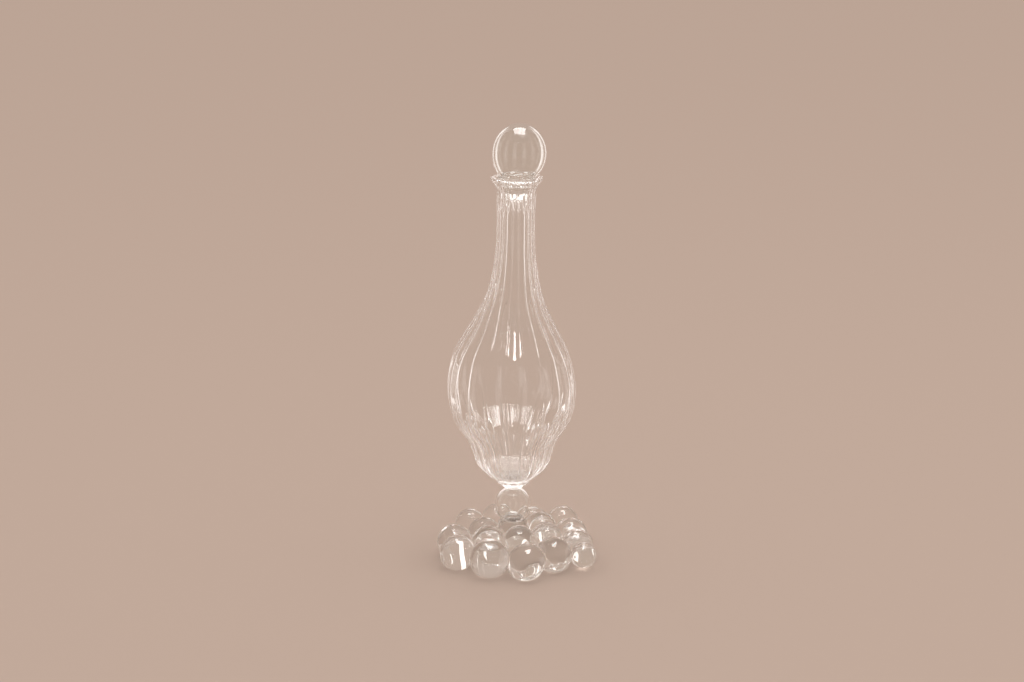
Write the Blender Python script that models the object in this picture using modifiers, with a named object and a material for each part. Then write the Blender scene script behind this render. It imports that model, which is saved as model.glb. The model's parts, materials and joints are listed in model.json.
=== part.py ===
"""A blown glass carafe: a ribbed, long-necked vessel on a foot of solid glass balls, with a ball stopper.

Metres, +Z up. The origin is on the table, at the middle of the foot. +X is the photograph's right.
"""

import math

import bpy

# Clearances
CLEARANCE = 0.0003          # between two pieces that touch on the real object
PLUG_CLEARANCE = 0.0006     # round the plug, in the neck

# Foot: a solid core with solid balls gathered round it
CORE_RADIUS = 0.0132        # at its fullest
CORE_BASE_RADIUS = 0.0100   # flat underside
CORE_TOP_RADIUS = 0.0100    # flat top, which carries the knop
CORE_HEIGHT = 0.0324
BALL_RADIUS = 0.0140        # an average ball
BALL_FLAT = 0.0004          # depth of the flat spot that a ball stands on

# Azimuth in degrees, then shares of BALL_RADIUS: distance from the axis, size, and lift off the table
INNER_BALL_SHARES = (
    (149, 1.70, 0.93, 0.17),
    (223, 1.70, 0.92, 0.40),
    (281, 1.78, 0.84, 0.75),
    (344, 2.03, 0.88, 0.48),
    (33, 1.94, 0.90, 0.52),
    (90, 1.93, 0.89, 0.20),
)
OUTER_BALL_SHARES = (
    (248, 3.50, 1.10, 0.0),
    (282, 3.82, 1.04, 0.0),
    (315, 3.30, 1.00, 0.0),
    (334, 4.30, 0.70, 0.15),
    (353, 3.60, 0.92, 0.0),
    (22, 3.47, 0.91, 0.08),
    (44, 3.92, 0.87, 0.30),
    (67, 3.60, 0.86, 0.16),
    (105, 3.58, 0.87, 0.30),
    (135, 3.40, 0.86, 0.30),
    (180, 3.33, 0.97, 0.0),
    (212, 3.70, 0.98, 0.0),
)
SETTLE_TOLERANCE = 0.000001 # how near to clear the balls are eased
SETTLE_ROUNDS = 400

# Knop: a hollow ball between foot and bowl
KNOP_RADIUS = 0.0144
KNOP_HALF_HEIGHT = 0.0158   # of the whole ball, before its flats
KNOP_SEAT_RADIUS = 0.0096   # ring that stands on the core
KNOP_TOP_RADIUS = 0.0060    # flat under the merese
KNOP_WALL = 0.0018

# Merese: the flared collar that joins knop and bowl
MERESE_HEIGHT = 0.0053
MERESE_TOP_RADIUS = 0.0131
MERESE_STEM_RADIUS = 0.0075

# Shares of MERESE_HEIGHT, and of the way from MERESE_STEM_RADIUS to MERESE_TOP_RADIUS, downwards
MERESE_SHARES = ((1.0, 0.9), (0.9, 1.0), (0.75, 0.88), (0.42, 0.4), (0.18, 0.1), (0.0, 0.0))

# Vessel: bowl, shoulder, neck and lip in one blown piece
BELLY_HEIGHT = 0.0764       # from the base up to the widest ring
SHOULDER_HEIGHT = 0.1204    # from there up to the neck
NECK_LENGTH = 0.0386
LIP_HEIGHT = 0.0095
BASE_RADIUS = 0.0134
BELLY_RADIUS = 0.0509
NECK_RADIUS = 0.0150
RIM_RADIUS = 0.0202
WALL = 0.0020
BASE_THICKNESS = 0.0050
RIB_COUNT = 20
RIB_HEIGHT = 0.0011         # from flute to crest, at its strongest, in the lower bowl
RIB_SINK_SHARE = 0.4        # how much of that lies inside the outline
NECK_LEAN = 0.0028          # how far the mouth stands to +X of the foot

# Shares of BELLY_HEIGHT, and of the way from BASE_RADIUS to BELLY_RADIUS
LOWER_BOWL_SHARES = (
    (0.015, 0.0),
    (0.056, 0.12),
    (0.11, 0.25),
    (0.165, 0.35),
    (0.22, 0.41),
    (0.33, 0.465),
    (0.44, 0.545),
    (0.545, 0.69),
    (0.655, 0.85),
    (0.80, 0.945),
    (1.0, 1.0),
)
BASE_FLAT_SHARE = 0.80      # of BASE_RADIUS

# Shares of SHOULDER_HEIGHT, and of the way from NECK_RADIUS to BELLY_RADIUS
SHOULDER_SHARES = (
    (0.12, 0.955),
    (0.26, 0.82),
    (0.40, 0.58),
    (0.53, 0.34),
    (0.67, 0.165),
    (0.80, 0.072),
    (1.0, 0.0),
)

# Shares of LIP_HEIGHT, and of the way from NECK_RADIUS to RIM_RADIUS
LIP_SHARES = (
    (0.0, 0.03),
    (0.55, 0.26),
    (0.84, 0.68),
    (0.97, 0.96),
)

# Shares of the vessel's height, of RIB_HEIGHT and of NECK_LEAN
RIB_SHARES = ((0.0, 0.0), (0.05, 0.7), (0.15, 1.0), (0.28, 0.6), (0.45, 0.35), (0.9, 0.35), (1.0, 0.0))
LEAN_SHARES = ((0.0, 0.0), (0.3, -0.37), (0.42, -0.52), (0.57, 0.05), (0.68, 0.5), (1.0, 1.0))

# Stopper: a hollow ball on a solid, round-ended plug
STOPPER_RADIUS = 0.0213
STOPPER_HALF_HEIGHT = 0.0244
STOPPER_SEAT_RADIUS = 0.0146
STOPPER_WALL = 0.0021
STOPPER_LEAN = 0.0022       # how far its middle stands to +X of its plug
PLUG_LENGTH = 0.0138        # below the collar
COLLAR_THICKNESS = 0.0050
COLLAR_RISE = 0.0026        # of the collar's top face above the lip's edge
COLLAR_ROUND = 0.0006

# Shares of the ball's height up to its middle, and of STOPPER_LEAN
STOPPER_LEAN_SHARES = ((0.0, 0.35), (0.45, 0.8), (1.0, 1.0))

# Shares of PLUG_LENGTH, down from the collar, and of the plug's full radius there
PLUG_SHARES = ((0.0, 1.0), (0.25, 1.0), (0.6, 0.97), (0.8, 0.84), (0.93, 0.56), (1.0, 0.0))

# Counts of sides and rings
SEGMENTS_PER_RIB = 4
TURNED_SEGMENTS = 24
ARC_STEPS = 8
LIP_STEPS = 4
BALL_SUBDIVISIONS = 3
SCREW_MERGE = 0.00001

COLLECTION_NAME = "glass_carafe"


def clear_scene():
    for obj in list(bpy.data.objects):
        bpy.data.objects.remove(obj)


def glass(name, colour, roughness):
    """A clear glass of this tint."""
    material = bpy.data.materials.new(name)
    material.use_nodes = True
    shader = material.node_tree.nodes["Principled BSDF"]
    shader.inputs["Base Color"].default_value = (*colour, 1.0)
    shader.inputs["Roughness"].default_value = roughness
    shader.inputs["Metallic"].default_value = 0.0
    shader.inputs["Transmission Weight"].default_value = 1.0
    shader.inputs["IOR"].default_value = 1.5
    return material


def add_object(name, mesh, material, collection, parent=None):
    """A smooth-shaded object of this mesh, in the carafe's collection."""
    obj = bpy.data.objects.new(name, mesh)
    collection.objects.link(obj)
    mesh.materials.clear()
    mesh.materials.append(material)
    mesh.shade_smooth()
    obj.parent = parent
    return obj


def turned_mesh(name, profile, segments):
    """The mesh of a profile of (radius, height) points turned round Z."""
    outline = bpy.data.meshes.new(name + "_outline")
    points = [(radius, 0.0, height) for radius, height in profile]
    outline.from_pydata(points, [(i, i + 1) for i in range(len(points) - 1)], [])
    guide = bpy.data.objects.new(name + "_outline", outline)
    bpy.context.scene.collection.objects.link(guide)
    screw = guide.modifiers.new("Screw", "SCREW")
    screw.steps = segments
    screw.render_steps = segments
    screw.use_merge_vertices = True
    screw.merge_threshold = SCREW_MERGE
    graph = bpy.context.evaluated_depsgraph_get()
    mesh = bpy.data.meshes.new_from_object(guide.evaluated_get(graph))
    mesh.name = name
    bpy.data.objects.remove(guide)
    bpy.data.meshes.remove(outline)
    return mesh


def between(shares, position):
    """The second value of a table of pairs, read at this position and straight between its rows."""
    for (start, low), (end, high) in zip(shares, shares[1:]):
        if position <= end:
            return low + (high - low) * max(0.0, position - start) / (end - start)
    return shares[-1][1]


def knop_base():
    return CORE_HEIGHT + CLEARANCE


def ball_flat_offset(radius, half_height, flat_radius):
    """How far from the middle of a ball its flat of this radius lies."""
    return half_height * math.sqrt(1.0 - (flat_radius / radius) ** 2)


def knop_centre():
    return knop_base() + ball_flat_offset(KNOP_RADIUS, KNOP_HALF_HEIGHT, KNOP_SEAT_RADIUS)


def merese_base():
    return knop_centre() + ball_flat_offset(KNOP_RADIUS, KNOP_HALF_HEIGHT, KNOP_TOP_RADIUS) + CLEARANCE


def vessel_base():
    return merese_base() + MERESE_HEIGHT + CLEARANCE


def vessel_height():
    return BELLY_HEIGHT + SHOULDER_HEIGHT + NECK_LENGTH + LIP_HEIGHT


def vessel_outer_outline():
    """(radius, height) from the edge of the base's flat up to the lip, along the outside."""
    outline = [(BASE_RADIUS * BASE_FLAT_SHARE, 0.0)]
    for height_share, radius_share in LOWER_BOWL_SHARES:
        radius = BASE_RADIUS + (BELLY_RADIUS - BASE_RADIUS) * radius_share
        outline.append((radius, BELLY_HEIGHT * height_share))
    for height_share, radius_share in SHOULDER_SHARES:
        radius = NECK_RADIUS + (BELLY_RADIUS - NECK_RADIUS) * radius_share
        outline.append((radius, BELLY_HEIGHT + SHOULDER_HEIGHT * height_share))
    lip_base = BELLY_HEIGHT + SHOULDER_HEIGHT + NECK_LENGTH
    for height_share, radius_share in LIP_SHARES:
        radius = NECK_RADIUS + (RIM_RADIUS - NECK_RADIUS) * radius_share
        outline.append((radius, lip_base + LIP_HEIGHT * height_share))
    return outline


def outward_normals(outline):
    """The unit normal of an outline at each point, to the right of the way up it."""
    normals = []
    for i in range(len(outline)):
        before = outline[max(i - 1, 0)]
        after = outline[min(i + 1, len(outline) - 1)]
        run, rise = after[0] - before[0], after[1] - before[1]
        length = math.hypot(run, rise)
        normals.append((rise / length, -run / length))
    return normals


def vessel_inner_outline():
    """(radius, height) from low in the bowl up to the lip, one wall inside the outer outline."""
    outer = vessel_outer_outline()
    inner = []
    for (radius, height), (out, up) in zip(outer, outward_normals(outer)):
        point = (radius - WALL * out, height - WALL * up)
        if point[1] > BASE_THICKNESS:
            inner.append(point)
    return inner


def lip_arc():
    """The fire-polished round between the inner and the outer side of the lip."""
    outer = vessel_outer_outline()
    radius, height = outer[-1]
    out, up = outward_normals(outer)[-1]
    half = WALL / 2.0
    middle = (radius - half * out, height - half * up)
    arc = []
    for step in range(1, LIP_STEPS):
        angle = math.pi * step / LIP_STEPS
        across, along = -math.cos(angle) * half, math.sin(angle) * half
        arc.append((middle[0] + across * out - along * up, middle[1] + across * up + along * out))
    return arc


def mouth_radius(height):
    """The vessel's inner radius at this height above its base."""
    return between([(point[1], point[0]) for point in vessel_inner_outline()], height)


def rib_wave(angle):
    """How far the wall stands out of its outline, in shares of a rib: narrow crests between wide flutes."""
    return ((1.0 + math.cos(RIB_COUNT * angle)) / 2.0) ** 2 - RIB_SINK_SHARE


def vessel_lean(share):
    return NECK_LEAN * between(LEAN_SHARES, share)


def add_vessel(material, collection):
    """The blown vessel: an outer and an inner skin, ribbed as they leave the mould."""
    profile = [(0.0, BASE_THICKNESS)]
    profile += vessel_inner_outline()
    profile += lip_arc()
    profile += reversed(vessel_outer_outline())
    profile.append((0.0, 0.0))
    mesh = turned_mesh("vessel", profile, RIB_COUNT * SEGMENTS_PER_RIB)
    for vertex in mesh.vertices:
        x, y, z = vertex.co
        radius = math.hypot(x, y)
        share = z / vessel_height()
        if radius > BASE_RADIUS * BASE_FLAT_SHARE:
            rib = RIB_HEIGHT * between(RIB_SHARES, share) * rib_wave(math.atan2(y, x))
            x, y = x * (radius + rib) / radius, y * (radius + rib) / radius
        vertex.co = (x + vessel_lean(share), y, z)
    vessel = add_object("vessel", mesh, material, collection)
    vessel.location.z = vessel_base()


def blown_ball_outline(radius, half_height, wall, seat_radius, top_radius):
    """A hollow ball that is open below: from its top down the outside and back up the inside.

    Heights are from its seat. top_radius is that of a flat on top, or zero.
    """
    seat = ball_flat_offset(radius, half_height, seat_radius)
    first = math.asin(top_radius / radius)
    last = math.pi - math.asin(seat_radius / radius)
    outside = []
    for step in range(ARC_STEPS + 1):
        angle = first + (last - first) * step / ARC_STEPS
        outside.append((radius * math.sin(angle), seat + half_height * math.cos(angle)))
    hollow_radius, hollow_half = radius - wall, half_height - wall
    hollow_last = math.pi - math.acos(seat / hollow_half)
    inside = []
    for step in range(ARC_STEPS):
        angle = hollow_last * (ARC_STEPS - step) / ARC_STEPS
        height = max(0.0, seat + hollow_half * math.cos(angle))
        inside.append((hollow_radius * math.sin(angle), height))
    top = [(0.0, outside[0][1])] if top_radius else []
    return top + outside + inside + [(0.0, seat + hollow_half)]


def add_knop(material, collection):
    """The hollow ball above the foot. Its open ring stands on the core."""
    outline = blown_ball_outline(
        KNOP_RADIUS, KNOP_HALF_HEIGHT, KNOP_WALL, KNOP_SEAT_RADIUS, KNOP_TOP_RADIUS
    )
    knop = add_object("knop", turned_mesh("knop", outline, TURNED_SEGMENTS), material, collection)
    knop.location.z = knop_base()


def add_merese(material, collection):
    """The small collar that flares up under the bowl."""
    outline = [(0.0, MERESE_HEIGHT)]
    for height_share, radius_share in MERESE_SHARES:
        radius = MERESE_STEM_RADIUS + (MERESE_TOP_RADIUS - MERESE_STEM_RADIUS) * radius_share
        outline.append((radius, MERESE_HEIGHT * height_share))
    outline.append((0.0, 0.0))
    merese = add_object("merese", turned_mesh("merese", outline, TURNED_SEGMENTS), material, collection)
    merese.location.z = merese_base()


def add_foot_core(material, collection):
    """The solid, barrel-shaped middle of the foot, flat below and on top."""
    bulge_below = math.sqrt(1.0 - (CORE_BASE_RADIUS / CORE_RADIUS) ** 2)
    bulge_above = math.sqrt(1.0 - (CORE_TOP_RADIUS / CORE_RADIUS) ** 2)
    half = CORE_HEIGHT / (bulge_below + bulge_above)
    middle = half * bulge_below
    first = math.asin(CORE_TOP_RADIUS / CORE_RADIUS)
    last = math.pi - math.asin(CORE_BASE_RADIUS / CORE_RADIUS)
    outline = [(0.0, CORE_HEIGHT)]
    for step in range(ARC_STEPS + 1):
        angle = first + (last - first) * step / ARC_STEPS
        outline.append((CORE_RADIUS * math.sin(angle), middle + half * math.cos(angle)))
    outline[-1] = (CORE_BASE_RADIUS, 0.0)
    outline.append((0.0, 0.0))
    add_object("foot_core", turned_mesh("foot_core", outline, TURNED_SEGMENTS), material, collection)


def ball_height(radius, lift):
    """The height of a ball's middle. One that isn't lifted stands on its flat spot."""
    return radius + lift if lift else radius - BALL_FLAT


def chosen_places(rows):
    """[x, y, z, radius] of each row's ball, as the table places it."""
    places = []
    for degrees, distance_share, size_share, lift_share in rows:
        azimuth = math.radians(degrees)
        distance = BALL_RADIUS * distance_share
        radius = BALL_RADIUS * size_share
        height = ball_height(radius, BALL_RADIUS * lift_share)
        places.append([distance * math.cos(azimuth), distance * math.sin(azimuth), height, radius])
    return places


def clear_core(place):
    """Pushes a ball out level until it clears the core, and returns how far it went."""
    x, y, _, radius = place
    distance = math.hypot(x, y)
    short = CORE_RADIUS + radius + CLEARANCE - distance
    if short > 0.0:
        place[0] += x / distance * short
        place[1] += y / distance * short
    return short


def clear_pair(first, second):
    """Pushes two balls apart level, each by half, until they clear, and returns how far they went."""
    across, along = second[0] - first[0], second[1] - first[1]
    distance = math.hypot(across, along)
    span = (first[3] + second[3] + CLEARANCE) ** 2 - (second[2] - first[2]) ** 2
    short = math.sqrt(max(0.0, span)) - distance
    if short > 0.0:
        first[0] -= across / distance * short / 2.0
        first[1] -= along / distance * short / 2.0
        second[0] += across / distance * short / 2.0
        second[1] += along / distance * short / 2.0
    return short


def settle(places):
    """Eases the balls apart, as they find room while soft, until the core and every pair clear."""
    for _ in range(SETTLE_ROUNDS):
        worst = 0.0
        for number, place in enumerate(places):
            worst = max(worst, clear_core(place))
            for other in places[:number]:
                worst = max(worst, clear_pair(other, place))
        if worst < SETTLE_TOLERANCE:
            break


def add_ball(name, place, material, collection):
    """A solid glass ball. What would reach below the table is pressed flat."""
    x, y, z, radius = place
    bpy.ops.mesh.primitive_ico_sphere_add(subdivisions=BALL_SUBDIVISIONS, radius=radius)
    made = bpy.context.object
    mesh = made.data
    bpy.data.objects.remove(made)
    mesh.name = name
    for vertex in mesh.vertices:
        vertex.co.z = max(vertex.co.z, -z)
    ball = add_object(name, mesh, material, collection)
    ball.location = (x, y, z)


def add_foot_balls(material, collection):
    """The inner ring of raised balls, then the outer ring that they lean on."""
    inner = chosen_places(INNER_BALL_SHARES)
    outer = chosen_places(OUTER_BALL_SHARES)
    settle(inner + outer)
    for number, place in enumerate(inner, 1):
        add_ball(f"inner_foot_ball_{number}", place, material, collection)
    for number, place in enumerate(outer, 1):
        add_ball(f"outer_foot_ball_{number:02d}", place, material, collection)


def add_stopper_plug(material, collection, holder):
    """The solid plug in the mouth, with the collar that the hollow ball stands on.

    Heights are from the collar's top face.
    """
    collar_base = vessel_height() + COLLAR_RISE - COLLAR_THICKNESS
    collar_radius = mouth_radius(collar_base) - CLEARANCE
    outline = [
        (0.0, 0.0),
        (collar_radius - COLLAR_ROUND, 0.0),
        (collar_radius, -COLLAR_ROUND),
        (collar_radius, -COLLAR_THICKNESS),
    ]
    plug_radius = NECK_RADIUS - WALL - PLUG_CLEARANCE
    for length_share, radius_share in PLUG_SHARES:
        drop = COLLAR_THICKNESS + PLUG_CLEARANCE + PLUG_LENGTH * length_share
        outline.append((plug_radius * radius_share, -drop))
    mesh = turned_mesh("stopper_plug", outline, TURNED_SEGMENTS)
    add_object("stopper_plug", mesh, material, collection, holder)


def add_stopper_ball(material, collection, holder):
    """The hollow ball on the plug, blown a little to one side."""
    outline = blown_ball_outline(
        STOPPER_RADIUS, STOPPER_HALF_HEIGHT, STOPPER_WALL, STOPPER_SEAT_RADIUS, 0.0
    )
    middle = ball_flat_offset(STOPPER_RADIUS, STOPPER_HALF_HEIGHT, STOPPER_SEAT_RADIUS)
    mesh = turned_mesh("stopper_ball", outline, TURNED_SEGMENTS)
    for vertex in mesh.vertices:
        vertex.co.x += STOPPER_LEAN * between(STOPPER_LEAN_SHARES, vertex.co.z / middle)
    ball = add_object("stopper_ball", mesh, material, collection, holder)
    ball.location.z = CLEARANCE


def add_stopper(material, collection):
    """The stopper's two pieces, on an empty on the mouth's axis, which they are lifted along."""
    holder = bpy.data.objects.new("stopper_axis", None)
    collection.objects.link(holder)
    holder.location = (vessel_lean(1.0), 0.0, vessel_base() + vessel_height() + COLLAR_RISE)
    add_stopper_plug(material, collection, holder)
    add_stopper_ball(material, collection, holder)


def build():
    clear_scene()
    collection = bpy.data.collections.new(COLLECTION_NAME)
    bpy.context.scene.collection.children.link(collection)
    vessel_glass = glass("vessel_glass", (0.97, 0.98, 0.97), 0.02)
    foot_glass = glass("foot_glass", (0.93, 0.95, 0.93), 0.03)
    stopper_glass = glass("stopper_glass", (0.95, 0.97, 0.95), 0.02)
    add_foot_core(foot_glass, collection)
    add_foot_balls(foot_glass, collection)
    add_knop(foot_glass, collection)
    add_merese(foot_glass, collection)
    add_vessel(vessel_glass, collection)
    add_stopper(stopper_glass, collection)


build()
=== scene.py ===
"""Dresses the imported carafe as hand-blown glass and sets it on a pale studio floor.

Metres, +Z up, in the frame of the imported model. Each sub-assembly is a class that builds its fine,
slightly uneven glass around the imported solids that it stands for.
"""

import json
import logging
import math
from collections.abc import Callable, Mapping, Sequence
from dataclasses import dataclass, field
from enum import Enum

import bmesh
import bpy
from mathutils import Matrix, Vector, noise

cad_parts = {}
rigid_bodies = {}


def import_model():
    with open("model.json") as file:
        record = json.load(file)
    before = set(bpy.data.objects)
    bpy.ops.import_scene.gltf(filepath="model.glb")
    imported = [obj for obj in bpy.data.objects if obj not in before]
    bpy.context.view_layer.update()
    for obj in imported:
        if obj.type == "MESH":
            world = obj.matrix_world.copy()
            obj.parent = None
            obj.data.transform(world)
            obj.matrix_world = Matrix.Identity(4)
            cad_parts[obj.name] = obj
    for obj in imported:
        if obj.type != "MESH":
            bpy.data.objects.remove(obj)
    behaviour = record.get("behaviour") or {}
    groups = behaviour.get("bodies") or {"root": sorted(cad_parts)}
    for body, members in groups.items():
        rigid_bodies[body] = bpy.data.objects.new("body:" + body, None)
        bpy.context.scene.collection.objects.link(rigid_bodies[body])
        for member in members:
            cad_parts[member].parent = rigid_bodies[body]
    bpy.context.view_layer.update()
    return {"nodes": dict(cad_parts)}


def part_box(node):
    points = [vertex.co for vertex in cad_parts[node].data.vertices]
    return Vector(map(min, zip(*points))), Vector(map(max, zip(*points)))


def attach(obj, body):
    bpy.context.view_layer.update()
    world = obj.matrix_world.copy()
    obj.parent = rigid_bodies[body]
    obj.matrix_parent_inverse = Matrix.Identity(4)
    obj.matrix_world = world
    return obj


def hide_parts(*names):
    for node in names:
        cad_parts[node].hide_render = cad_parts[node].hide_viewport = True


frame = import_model()

LOG = logging.getLogger("carafe")

Colour = tuple[float, float, float]
Pair = tuple[float, float]
Mover = Callable[[float, float, float], Vector]

MM_PER_M = 1000.0
# How far a seed moves the noise along X, Y and Z
SEED_SHARES = (1.0, 0.7, 1.3)


class Body(Enum):
    """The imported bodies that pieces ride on."""

    CARAFE = "carafe"
    STOPPER = "stopper"


class Slot(Enum):
    """The record's material slots."""

    VESSEL = "vessel_glass"
    FOOT = "foot_glass"
    STOPPER = "stopper_glass"


class Skin(Enum):
    """The two faces of a blown wall."""

    OUTER = "outer"
    INNER = "inner"


# Shader nodes


class Value:
    """A number that a shader node gives, with arithmetic that adds the nodes for it."""

    def __init__(self, shader: "Shader", socket: bpy.types.NodeSocket) -> None:
        """Keeps the socket and the shader that it belongs to.

        Args:
            shader: The node tree's builder.
            socket: The output that gives the number.
        """
        self.shader = shader
        self.socket = socket

    def _math(self, operation: str, first: "Value | float", second: "Value | float") -> "Value":
        """Adds one Math node.

        Args:
            operation: The Math node's operation.
            first: Its first value.
            second: Its second value.

        Returns:
            The node's result.
        """
        node = self.shader.node("ShaderNodeMath", {"operation": operation}, {0: first, 1: second})
        return Value(self.shader, node.outputs[0])

    def __add__(self, other: "Value | float") -> "Value":
        """self + other."""
        return self._math("ADD", self, other)

    def __rsub__(self, other: float) -> "Value":
        """other - self."""
        return self._math("SUBTRACT", other, self)

    def __mul__(self, other: "Value | float") -> "Value":
        """self * other."""
        return self._math("MULTIPLY", self, other)

    def higher(self, other: "Value | float") -> "Value":
        """The higher of the two numbers."""
        return self._math("MAXIMUM", self, other)


class Shader:
    """Builds the nodes of one material or world."""

    def __init__(self, owner: bpy.types.Material | bpy.types.World) -> None:
        """Empties the owner's node tree.

        Args:
            owner: The material or world.
        """
        owner.use_nodes = True
        self.tree = owner.node_tree
        self.tree.nodes.clear()

    def node(
        self,
        kind: str,
        settings: Mapping[str, object] | None = None,
        inputs: Mapping[str | int, object] | None = None,
    ) -> bpy.types.Node:
        """Adds any node.

        Args:
            kind: The node's type name.
            settings: Its properties, which are set first.
            inputs: By socket name or number: a Value or an output to link, or the value to set.

        Returns:
            The node.
        """
        node = self.tree.nodes.new(kind)
        for name, setting in (settings or {}).items():
            setattr(node, name, setting)
        for name, given in (inputs or {}).items():
            source = given.socket if isinstance(given, Value) else given
            if isinstance(source, bpy.types.NodeSocket):
                self.tree.links.new(source, node.inputs[name])
            else:
                node.inputs[name].default_value = source
        return node

    def value(self, node: bpy.types.Node, output: str | int) -> Value:
        """One output of a node, as a Value."""
        return Value(self, node.outputs[output])

    def noise(self, coordinates: bpy.types.NodeSocket, size: float, detail: float) -> Value:
        """Soft noise from 0 to 1.

        Args:
            coordinates: Where it is read.
            size: The size of one blot, in metres.
            detail: How many finer layers it has.

        Returns:
            The noise.
        """
        node = self.node(
            "ShaderNodeTexNoise", inputs={"Vector": coordinates, "Scale": 1.0 / size, "Detail": detail}
        )
        return self.value(node, 0)

    def mix_colour(self, factor: Value | float, first: Colour, second: Colour) -> bpy.types.NodeSocket:
        """A colour between two others.

        Args:
            factor: 0 for the first and 1 for the second.
            first: A colour.
            second: Another colour.

        Returns:
            The mixed colour's output.
        """
        node = self.node(
            "ShaderNodeMix",
            {"data_type": "RGBA"},
            {0: factor, 6: (*first, 1.0), 7: (*second, 1.0)},
        )
        return node.outputs[2]

    def finish_with(self, kind: str, surface: bpy.types.NodeSocket) -> None:
        """Adds the output node of this kind and links the surface to it."""
        self.node(kind, inputs={"Surface": surface})


@dataclass(frozen=True)
class HotGlass:
    """Clear glass as the furnace leaves it: glossy, faintly rippled, its tint a little uneven."""

    name: str
    tint: Colour
    thick_tint: Colour
    roughness: float = 0.004
    haze: float = 0.01
    index: float = 1.5
    # The ripple's height and size in metres, then the size of its finer grain and the grain's share
    ripple: float = 0.00006
    ripple_size: float = 0.016
    grain_size: float = 0.0035
    grain_share: float = 0.12

    def material(self) -> bpy.types.Material:
        """Makes the material.

        Returns:
            The new material.
        """
        material = bpy.data.materials.new(self.name)
        shader = Shader(material)
        place = shader.node("ShaderNodeTexCoord").outputs["Object"]
        broad = shader.noise(place, self.ripple_size, detail=1.0)
        fine = shader.noise(place, self.grain_size, detail=0.0)
        bump = shader.node(
            "ShaderNodeBump",
            inputs={"Strength": 1.0, "Distance": self.ripple, "Height": broad + fine * self.grain_share},
        )
        glass = shader.node(
            "ShaderNodeBsdfPrincipled",
            inputs={
                "Base Color": shader.mix_colour(broad, self.tint, self.thick_tint),
                "Roughness": fine * self.haze + self.roughness,
                "Metallic": 0.0,
                "IOR": self.index,
                "Transmission Weight": 1.0,
                "Normal": bump.outputs[0],
            },
        )
        shader.finish_with("ShaderNodeOutputMaterial", glass.outputs[0])
        return material


@dataclass(frozen=True)
class FloorPaint:
    """A plain, matt studio floor."""

    name: str
    colour: Colour
    roughness: float = 0.85

    def material(self) -> bpy.types.Material:
        """Makes the material.

        Returns:
            The new material.
        """
        material = bpy.data.materials.new(self.name)
        shader = Shader(material)
        paint = shader.node(
            "ShaderNodeBsdfPrincipled",
            inputs={
                "Base Color": (*self.colour, 1.0),
                "Roughness": self.roughness,
                "Specular IOR Level": 0.0,
            },
        )
        shader.finish_with("ShaderNodeOutputMaterial", paint.outputs[0])
        return material


# Forms


class Curve:
    """A smooth curve through a table of (position, value) rows, without overshoot."""

    # A slope over this many times a neighbouring step's would overshoot
    steepest: float = 3.0

    def __init__(self, rows: Sequence[Pair]) -> None:
        """Keeps the rows and works out the slopes.

        Args:
            rows: The table, in the order of the positions.
        """
        self.rows = tuple(rows)
        self.slopes = self._slopes()

    def _slopes(self) -> list[float]:
        """The curve's slope at each row.

        Returns:
            One slope a row, level where the table turns back.
        """
        steps = [
            (after[1] - before[1]) / (after[0] - before[0])
            for before, after in zip(self.rows, self.rows[1:])
        ]
        inner = []
        for i, (a, b) in enumerate(zip(steps, steps[1:])):
            across = (self.rows[i + 2][1] - self.rows[i][1]) / (self.rows[i + 2][0] - self.rows[i][0])
            most = self.steepest * min(abs(a), abs(b))
            inner.append(max(-most, min(most, across)) if a * b > 0.0 else 0.0)
        return [steps[0], *inner, steps[-1]]

    def at(self, position: float) -> float:
        """The value at a position, held level past the ends.

        Args:
            position: Where to read the curve.

        Returns:
            The value there.
        """
        if position <= self.rows[0][0]:
            return self.rows[0][1]
        for i, ((start, low), (end, high)) in enumerate(zip(self.rows, self.rows[1:])):
            if position <= end:
                span = end - start
                t = (position - start) / span
                ease = t * t * (3.0 - 2.0 * t)
                bend = self.slopes[i] * t * (1.0 - t) ** 2 - self.slopes[i + 1] * t * t * (1.0 - t)
                return low + (high - low) * ease + bend * span
        return self.rows[-1][1]


def outward(outline: Sequence[Pair]) -> list[Pair]:
    """The unit normal of an outline at each point.

    Args:
        outline: Points of (radius, height).

    Returns:
        Normals that point to the right of the way along the outline.
    """
    normals = []
    for i in range(len(outline)):
        before, after = outline[max(i - 1, 0)], outline[min(i + 1, len(outline) - 1)]
        run, rise = after[0] - before[0], after[1] - before[1]
        length = math.hypot(run, rise)
        normals.append((rise / length, -run / length))
    return normals


def turned(name: str, outline: Sequence[Pair], angles: Sequence[float], move: Mover) -> bpy.types.Object:
    """A closed, smooth turned form.

    Args:
        name: The piece's name.
        outline: Points of (radius, height), of which the first and last lie on the axis.
        angles: The columns' angles round the axis, in order.
        move: Gives each point's place from its radius, angle and height.

    Returns:
        The new object.
    """
    body = outline[1:-1]
    sides = len(angles)
    points = [move(radius, angle, height) for radius, height in body for angle in angles]
    points += [move(radius, 0.0, height) for radius, height in (outline[0], outline[-1])]
    first, last = len(points) - 2, len(points) - 1
    faces = []
    for side in range(sides):
        after = (side + 1) % sides
        faces.append((first, side, after))
        for ring in range(0, (len(body) - 1) * sides, sides):
            faces.append((ring + side, ring + sides + side, ring + sides + after, ring + after))
        end = (len(body) - 1) * sides
        faces.append((end + side, last, end + after))
    mesh = bpy.data.meshes.new(name)
    mesh.from_pydata(points, [], faces)
    shape = bmesh.new()
    shape.from_mesh(mesh)
    bpy.data.meshes.remove(mesh)
    return piece_from(name, shape)


def even_angles(sides: int) -> list[float]:
    """The angles of this many even columns."""
    return [math.tau * side / sides for side in range(sides)]


def polar(radius: float, angle: float, height: float) -> Vector:
    """The point at a distance from the axis, an angle round it and a height."""
    return Vector((radius * math.cos(angle), radius * math.sin(angle), height))


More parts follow.
